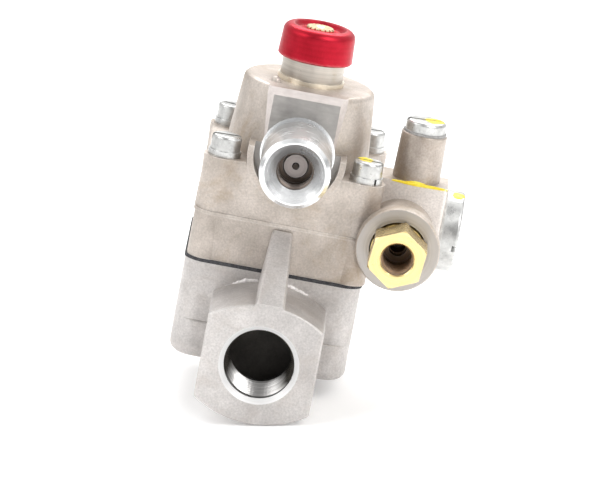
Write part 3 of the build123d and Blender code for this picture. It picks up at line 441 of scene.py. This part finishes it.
def finish_fittings():
    """The turned pieces: connector, brass fitting, stem, sleeve and the brass inside."""
    bright = turned_metal("connector_turned", light=(0.94, 0.945, 0.95), dark=(0.86, 0.865, 0.87),
                          rough=0.20, centre=CONNECTOR, axis="Y", groove=0.010, metallic=0.90)
    dress(bright, "thermocouple_connector", "connector_washer")
    # painted shade: the inside of the connector's threaded hole is coloured dark brown, as the shadow in the
    # hole
    shaded_well = turned_metal("connector_thread_painted_shade", light=(0.20, 0.155, 0.125), dark=(0.075, 0.055, 0.045),
                        rough=0.36, centre=CONNECTOR, axis="Y", metallic=0.8)
    well_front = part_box("thermocouple_connector")[0].y + 3.1 * MM
    well_r = 4.6 * MM

    def in_well(centre, normal):
        return from_axis(centre, CONNECTOR, 1) < well_r and centre.y > well_front

    second_finish("thermocouple_connector", shaded_well, in_well)
    brass = turned_metal("brass_turned", light=(0.93, 0.76, 0.40), dark=(0.80, 0.60, 0.26), rough=0.24,
                         centre=FITTING, axis="Y", groove=0.010, edge=(1.0, 0.88, 0.52))
    dress(brass, "pilot_fitting")
    # painted shade: the brass inside the fitting's hole, and the ferrule, are coloured dark, as the shade in
    # the hole
    shaded_brass = turned_metal("brass_bore_painted_shade", light=(0.52, 0.36, 0.22), dark=(0.26, 0.16, 0.09), rough=0.34,
                              centre=FITTING, axis="Y", groove=0.02, scale=1100.0, metallic=0.35)
    hole_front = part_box("pilot_fitting")[0].y + 0.3 * MM
    hole_r = 4.0 * MM

    def in_hole(centre, normal):
        return from_axis(centre, FITTING, 1) < hole_r and centre.y > hole_front

    second_finish("pilot_fitting", shaded_brass, in_hole)
    dress(shaded_brass, "pilot_ferrule")
    pale = turned_metal("stem_end_turned", (0.86, 0.74, 0.46), (0.66, 0.54, 0.30), 0.28, STEM, "Z")
    dress(pale, "stem_end")
    inner = turned_metal("brass_inner", (0.86, 0.64, 0.26), (0.68, 0.47, 0.15), 0.26, STEM, "Z")
    dress(inner, "valve_seat", "disc_holder", "spindle_guide", "pilot_needle")
    nickel = turned_metal("sleeve_nickel", (0.56, 0.51, 0.455), (0.40, 0.365, 0.32), 0.30, STEM, "Z")
    dress(nickel, "reset_sleeve")
    base_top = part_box("upper_body")[1].z + 1.2 * MM
    # painted highlight: the faces of the sleeve's base ring that do not face down are coloured pale cream, a
    # bright line along its bevel
    highlit_base_ring = turned_metal("sleeve_base_ring_highlight", (0.95, 0.88, 0.74), (0.80, 0.72, 0.58), 0.30, STEM, "Z")

    def on_base_ring(centre, normal):
        return centre.z < base_top and normal.z > -0.5

    second_finish("reset_sleeve", highlit_base_ring, on_base_ring)
    ground = turned_metal("steel_ground", (0.70, 0.70, 0.71), (0.52, 0.52, 0.53), 0.24, STEM, "Z")
    dress(ground, "reset_stem", "valve_spindle")


def finish_small_pieces():
    """The button, the plated steel, the windings, the sheets and the seals."""
    dress(anodised_red("red_anodised_skin"), "reset_button")
    zinc = plated_steel("zinc_plate", (0.68, 0.68, 0.665), (0.44, 0.44, 0.43), 0.32)
    dress(zinc, "cover_screws", "lock_washers", "pilot_plug", "pilot_side_cap", "bracket_screws")
    spring = plated_steel("spring_steel", (0.66, 0.66, 0.67), (0.46, 0.46, 0.47), 0.30)
    dress(spring, "reset_spring", "closing_spring", "stem_clip", "spindle_clip", "magnet_bracket")
    iron = plated_steel("core_iron_skin", (0.40, 0.40, 0.41), (0.26, 0.26, 0.27), 0.42)
    dress(iron, "magnet_core", "armature_plate")
    dress(wound_wire("coil_winding"), "magnet_coil_left", "magnet_coil_right")
    dress(plated_steel("copper_wire", (0.80, 0.44, 0.27), (0.60, 0.30, 0.17), 0.30), "contact_lead")
    # the contact at the centre of the connector is coloured near black
    near_black_contact = plated_steel("contact_near_black", (0.085, 0.07, 0.06), (0.03, 0.024, 0.02), 0.45)
    dress(near_black_contact, "connector_contact")
    dress(soft_sheet("gasket_sheet", (0.075, 0.075, 0.08), (0.03, 0.03, 0.034), 0.80), "body_gasket")
    dress(soft_sheet("grey_fibre", (0.40, 0.39, 0.38), (0.25, 0.245, 0.24), 0.66), "pilot_plug_washer")
    dress(soft_sheet("pale_fibre", (0.70, 0.69, 0.66), (0.52, 0.51, 0.49), 0.66), "side_cap_gasket")
    seal = soft_sheet("seal_rubber", (0.06, 0.06, 0.063), (0.025, 0.025, 0.028), 0.55)
    dress(seal, "stem_seal", "needle_seal", "valve_disc")
    disc = turned_metal("insulator_skin", light=(0.40, 0.35, 0.33), dark=(0.22, 0.19, 0.18), rough=0.30,
                        centre=CONNECTOR, axis="Y", groove=0.02, scale=900.0, metallic=0.55)
    dress(disc, "connector_insulator")
    dress(felt("filter_felt_skin"), "pilot_filter")


# --- pieces made here ---------------------------------------------------------------------------------


def new_piece(name, verts, faces, material, body="root", smooth=True):
    """A new mesh with its faces turned outwards, riding on a body."""
    mesh = bpy.data.meshes.new(name)
    mesh.from_pydata([tuple(v) for v in verts], [], faces)
    mesh.update()
    shape = bmesh.new()
    shape.from_mesh(mesh)
    bmesh.ops.recalc_face_normals(shape, faces=shape.faces)
    shape.to_mesh(mesh)
    shape.free()
    for face in mesh.polygons:
        face.use_smooth = smooth
    mesh.materials.append(material)
    piece = bpy.data.objects.new(name, mesh)
    bpy.context.scene.collection.objects.link(piece)
    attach(piece, body)
    return piece


def thread(name, mouth, inward, wall_r, depth, pitch, length, taper, material):
    """Internal screw thread: one helical ridge standing inwards from a bore's wall."""
    steps = 60                      # corners in one turn
    fade = 0.7 * steps              # corners over which the ridge rises, and runs out
    root_half, crest_half = 0.46, 0.07      # half widths of the ridge, in pitches
    root = wall_r + 0.04 * MM       # the ridge's foot is sunk into the wall
    up = inward.cross(RIGHT)
    count = int(length / pitch * steps)
    verts = []
    for index in range(count + 1):
        angle = 2 * math.pi * index / steps
        along = pitch * index / steps
        lead_in = min(1.0, index / fade, (count - index) / fade)
        crest = wall_r - depth * max(0.05, lead_in) - taper * along
        out = RIGHT * math.cos(angle) + up * math.sin(angle)
        profile = ((root, -root_half), (crest, -crest_half), (crest, crest_half), (root, root_half))
        for reach, shift in profile:
            verts.append(mouth + inward * (along + shift * pitch) + out * reach)
    faces = [(0, 1, 2, 3), tuple(count * 4 + k for k in (3, 2, 1, 0))]
    for index in range(count):
        for k in range(4):
            a = index * 4 + k
            b = index * 4 + (k + 1) % 4
            faces.append((a, a + 4, b + 4, b))
    piece = new_piece(name, verts, faces, material, smooth=False)


def make_threads():
    """Ridges in the four threaded holes. Each takes its bore's finish, the node's second material."""
    for name in ("outlet_port", "inlet_port"):
        mount = MOUNTS[name]
        outward = Vector(mount["axis"])
        mouth = Vector(mount["pos_m"]) + outward * -0.5 * MM
        thread(name + "_thread", mouth, -outward, wall_r=mount["dims"]["r_mm"] * MM, depth=0.60 * MM,
               pitch=1.411 * MM, length=13.4 * MM, taper=1 / 40,
               material=NODES["lower_body"].data.materials[1])
    mount = MOUNTS["thermocouple_port"]
    mouth = Vector(mount["pos_m"]) - Vector(mount["axis"]) * 0.25 * MM
    thread("connector_thread", mouth, BACK, wall_r=mount["dims"]["r_mm"] * MM, depth=0.36 * MM,
           pitch=0.794 * MM, length=4.7 * MM, taper=0.0,
           material=NODES["thermocouple_connector"].data.materials[1])
    mount = MOUNTS["pilot_outlet"]
    mouth = Vector(mount["pos_m"])
    mouth.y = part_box("pilot_fitting")[0].y + 1.5 * MM
    thread("fitting_thread", mouth, BACK, wall_r=mount["dims"]["r_mm"] * MM, depth=0.38 * MM,
           pitch=1.06 * MM, length=9.0 * MM, taper=0.0,
           material=NODES["pilot_fitting"].data.materials[1])


def make_fillet_highlight_beads():
    """Thin uneven beads along the outlet boss's crown, where it meets the casting's wall, coloured near white
    as a painted highlight on the fillet there.
    """
    # painted highlight: near-white beads where the fillet catches the light
    skin = cast_metal("fillet_highlight_skin", light=(0.93, 0.90, 0.885), dark=(0.80, 0.77, 0.755),
                      stain=(0.62, 0.57, 0.53), metallic=0.3, rough=0.42, stain_amount=0.3)
    wall_y = STEM.y - 21.8 * MM
    crown_z = -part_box("lower_body")[0].z
    steps, around = 56, 12          # corners along a bead, and around it
    # each bead runs from one x to another, in mm, and has a seed of its own
    beads = (("fillet_highlight_left", -9.6, -3.2, 21), ("fillet_highlight_right", 3.2, 8.8, 22))
    for name, start, end, seed in beads:
        chance = random.Random(seed)
        waves = [(k, chance.uniform(0.5, 1.0) / k, chance.uniform(0, 2 * math.pi)) for k in range(1, 8)]
        verts = []
        for index in range(steps + 1):
            part = index / steps
            wobble = sum(size * math.sin(2 * math.pi * k * part + phase) for k, size, phase in waves)
            fullness = math.sin(math.pi * part) ** 0.5
            reach = (0.14 + (0.34 + 0.08 * wobble) * fullness) * MM
            x = (start + (end - start) * part) * MM
            z = crown_z - CROWN_R + math.sqrt(CROWN_R ** 2 - x ** 2) + (0.15 + 0.12 * wobble) * MM
            for step in range(around):
                angle = 2 * math.pi * step / around
                y = wall_y + reach * math.cos(angle)
                verts.append(Vector((x, y, z + reach * 1.25 * math.sin(angle))))
        faces = [tuple(range(around)), tuple(reversed(range(steps * around, (steps + 1) * around)))]
        for index in range(steps):
            for step in range(around):
                a, b = index * around + step, index * around + (step + 1) % around
                faces.append((a, b, b + around, a + around))
        piece = new_piece(name, verts, faces, skin)


def dab(name, node, centre, normal, across, half_width, half_height, material, seed):
    """A brushed paint mark, laid onto a CAD node's surface with an uneven outline."""
    source = NODES[node].data
    corners = [vertex.co for vertex in source.vertices]
    surface = BVHTree.FromPolygons(corners, [list(face.vertices) for face in source.polygons])
    normal = normal.normalized()
    across = (across - normal * across.dot(normal)).normalized()
    along = normal.cross(across)
    chance = random.Random(seed)
    around, rings = 48, 9
    thickness = 0.10 * MM           # of the paint in the middle of the mark
    sink = 0.05 * MM                # its underside is this far inside the metal
    waves = [(k, chance.uniform(0.4, 1.0) * 0.20 / k, chance.uniform(0, 2 * math.pi)) for k in range(2, 9)]
    tops, unders = [], []
    for ring in range(rings + 1):
        reach = ring / rings
        for step in range(around if ring else 1):
            angle = 2 * math.pi * step / around
            uneven = 1 + sum(size * math.sin(k * angle + phase) for k, size, phase in waves)
            offset = across * math.cos(angle) * half_width + along * math.sin(angle) * half_height
            spot = centre + offset * reach * uneven
            hit, hit_normal, _, _ = surface.ray_cast(spot + normal * 4 * MM, -normal, 9 * MM)
            if hit is None:
                hit, hit_normal, _, _ = surface.find_nearest(spot)
            if hit_normal.dot(normal) < 0:
                hit_normal = -hit_normal
            rise = thickness * (1 - reach ** 4) + 0.015 * MM
            tops.append(hit + hit_normal * (rise if ring < rings else -0.02 * MM))
            unders.append(hit - hit_normal * sink)
    verts = tops + unders
    base = len(tops)

    def spot_index(ring, step):
        return 0 if ring == 0 else 1 + (ring - 1) * around + step % around

    faces = []
    for step in range(around):
        faces.append((0, spot_index(1, step), spot_index(1, step + 1)))
        faces.append((base, base + spot_index(1, step + 1), base + spot_index(1, step)))
        for ring in range(1, rings):
            a, b = spot_index(ring, step), spot_index(ring, step + 1)
            c, d = spot_index(ring + 1, step + 1), spot_index(ring + 1, step)
            faces.append((a, d, c, b))
            faces.append((base + a, base + b, base + c, base + d))
        a, b = spot_index(rings, step), spot_index(rings, step + 1)
        faces.append((a, base + a, base + b, b))
    new_piece(name, verts, faces, material)


def make_paint_marks():
    """An inspector's yellow marks on a cover screw, the pilot block, the plug and the side cap."""
    paint = inspection_paint("yellow_marker")
    low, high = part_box("cover_screws")
    screw_r = 3.6 * MM
    screw = Vector((high.x - screw_r, low.y + screw_r, high.z))
    dab("paint_on_screw", "cover_screws", screw + Vector((-0.9, 0.6, 0)) * MM, normal=UP, across=RIGHT,
        half_width=2.0 * MM, half_height=2.2 * MM, material=paint, seed=3)
    block_left, block_right = 21.5 * MM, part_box("upper_body")[1].x
    edge = Vector(((block_left + block_right) / 2 + 0.6 * MM, BLOCK_FRONT_Y, FLANGE_Z + 0.2 * MM))
    dab("paint_on_block", "upper_body", edge, normal=Vector((0, -1, 1)), across=RIGHT,
        half_width=7.4 * MM, half_height=0.50 * MM, material=paint, seed=11)
    plug_top = Vector((PLUG.x + 1.9 * MM, PLUG.y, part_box("pilot_plug")[1].z))
    dab("paint_on_plug", "pilot_plug", plug_top, normal=UP, across=RIGHT,
        half_width=2.4 * MM, half_height=2.9 * MM, material=paint, seed=7)
    cap_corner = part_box("pilot_side_cap")[1]
    cap_top = Vector((cap_corner.x - 1.7 * MM, SIDE_CAP.y - 2.4 * MM, cap_corner.z - 0.5 * MM))
    dab("paint_on_side_cap", "pilot_side_cap", cap_top, normal=Vector((0.0, -0.35, 1)), across=BACK,
        half_width=1.8 * MM, half_height=1.5 * MM, material=paint, seed=5)


# --- stage, light and camera --------------------------------------------------------------------------

LEAN = math.radians(10.8)       # the valve lies on its rounded bosses, leaning to the right
CAMERA_DISTANCE = 1.3
CAMERA_AZIMUTH = math.radians(-0.9)
CAMERA_ELEVATION = math.radians(13.74)
LENS_MM, SENSOR_MM = 320.0, 36.0
AIM = Vector((4.72 * MM, STEM.y, 21.02 * MM))
# the studio's brightness, by how squarely a direction looks to the front, or into a gap between softboxes
FRONT_SHADE = {"From Min": 0.15, "From Max": 0.92, "To Min": 0.92, "To Max": 0.34}
GAP_DIP = {"From Min": 0.97, "From Max": 0.995, "To Min": 1.0, "To Max": 0.30}


def upright(vector):
    """Turns a direction given in the room's frame into the leaning valve's own frame."""
    return Matrix.Rotation(-LEAN, 3, "Y") @ vector


def plain(name, colour, rough, glow):
    """A paper sweep that glows a little, so that shadows on it stay faint."""
    s = Surface(name)
    tone = s.span(s.noise(9.0, 2.0), 0.2, 0.8, 0.985, 1.0)
    shade = s.node("ShaderNodeCombineColor", {0: tone, 1: tone, 2: tone}).outputs[0]
    s.finish(**{"Emission Color": (1.0, 1.0, 1.0, 1.0), "Emission Strength": glow})
    return s.finish(colour=s.mix(1.0, colour, shade, "MULTIPLY"), rough=rough)


def make_floor():
    """A large pale floor that the rounded bosses stand on."""
    crown_centre = Vector((0, STEM.y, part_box("lower_body")[0].z + CROWN_R))
    up = upright(UP)
    contact = crown_centre - up * (CROWN_R + 0.2 * MM)
    bpy.ops.mesh.primitive_plane_add(size=12.0, location=contact)
    floor = bpy.context.object
    floor.name = "floor"
    floor.rotation_euler = (0, -LEAN, 0)
    floor.data.materials.append(plain("floor_white", (0.93, 0.93, 0.93), rough=0.9, glow=0.18))


def area_light(name, direction, distance, size, watts):
    """A soft box that looks at the valve from one direction of the room."""
    data = bpy.data.lights.new(name, "AREA")
    data.shape = "RECTANGLE"
    data.size, data.size_y = size
    data.energy = watts
    light = bpy.data.objects.new(name, data)
    bpy.context.scene.collection.objects.link(light)
    away = upright(Vector(direction)).normalized()
    light.location = AIM + away * distance
    light.rotation_mode = "QUATERNION"
    light.rotation_quaternion = (-away).to_track_quat("-Z", "Y")


def darker_towards(nodes, links, strength, direction, gap):
    """Multiplies the studio's brightness down in one direction, as between two of its softboxes."""
    towards = nodes.new("ShaderNodeVectorMath")
    towards.operation = "DOT_PRODUCT"
    towards.inputs[1].default_value = gap
    links.new(direction, towards.inputs[0])
    dip = nodes.new("ShaderNodeMapRange")
    dip.interpolation_type = "SMOOTHSTEP"
    for key, value in GAP_DIP.items():
        dip.inputs[key].default_value = value
    links.new(towards.outputs["Value"], dip.inputs["Value"])
    lower = nodes.new("ShaderNodeMath")
    lower.operation = "MULTIPLY"
    links.new(strength, lower.inputs[0])
    links.new(dip.outputs["Result"], lower.inputs[1])
    return lower.outputs[0]


def make_light():
    """A pale studio that is darker in front of the valve and in three gaps, and three soft boxes."""
    world = bpy.data.worlds.new("studio")
    bpy.context.scene.world = world
    world.use_nodes = True
    nodes, links = world.node_tree.nodes, world.node_tree.links
    background = nodes["Background"]
    background.inputs["Color"].default_value = (1.0, 1.0, 1.0, 1.0)
    direction = nodes.new("ShaderNodeTexCoord").outputs["Generated"]
    facing = nodes.new("ShaderNodeVectorMath")
    facing.operation = "DOT_PRODUCT"
    facing.inputs[1].default_value = upright(Vector((0.0, -1.0, 0.15)).normalized())
    links.new(direction, facing.inputs[0])
    shade = nodes.new("ShaderNodeMapRange")
    for key, value in FRONT_SHADE.items():
        shade.inputs[key].default_value = value
    links.new(facing.outputs["Value"], shade.inputs["Value"])
    strength = shade.outputs["Result"]
    for gap in ((-1.0, -0.15, 0.1), (1.0, -0.15, 0.1), (0.0, -0.45, 1.0)):
        strength = darker_towards(nodes, links, strength, direction, upright(Vector(gap).normalized()))
    links.new(strength, background.inputs["Strength"])
    area_light("key_left", (-0.85, -0.60, 0.75), distance=0.9, size=(0.6, 0.6), watts=2.4)
    area_light("top", (0.1, 0.75, 1.0), distance=1.0, size=(0.9, 0.5), watts=8.0)
    area_light("fill_right", (0.75, -0.80, 0.80), distance=1.0, size=(0.5, 0.6), watts=4.6)
    bpy.context.scene.view_settings.view_transform = "Standard"


def make_camera():
    """The photograph's camera, upright in the room, so it is rolled in the leaning valve's frame."""
    data = bpy.data.cameras.new("camera")
    data.lens = LENS_MM
    data.sensor_width = SENSOR_MM
    data.clip_start, data.clip_end = 0.1, 50.0
    camera = bpy.data.objects.new("camera", data)
    bpy.context.scene.collection.objects.link(camera)
    bpy.context.scene.camera = camera
    flat = math.cos(CAMERA_ELEVATION)
    level_away = Vector((math.sin(CAMERA_AZIMUTH) * flat, -math.cos(CAMERA_AZIMUTH) * flat, 0))
    away = level_away + UP * math.sin(CAMERA_ELEVATION)
    camera.location = AIM + away * CAMERA_DISTANCE
    camera.rotation_mode = "QUATERNION"
    level = (-away).to_track_quat("-Z", "Y")
    camera.rotation_quaternion = level @ Matrix.Rotation(LEAN, 3, "Z").to_quaternion()


finish_castings()
finish_pad()
finish_ports()
finish_pilot_block()
finish_fittings()
finish_small_pieces()
make_threads()
make_fillet_highlight_beads()
make_paint_marks()
make_floor()
make_light()
make_camera()
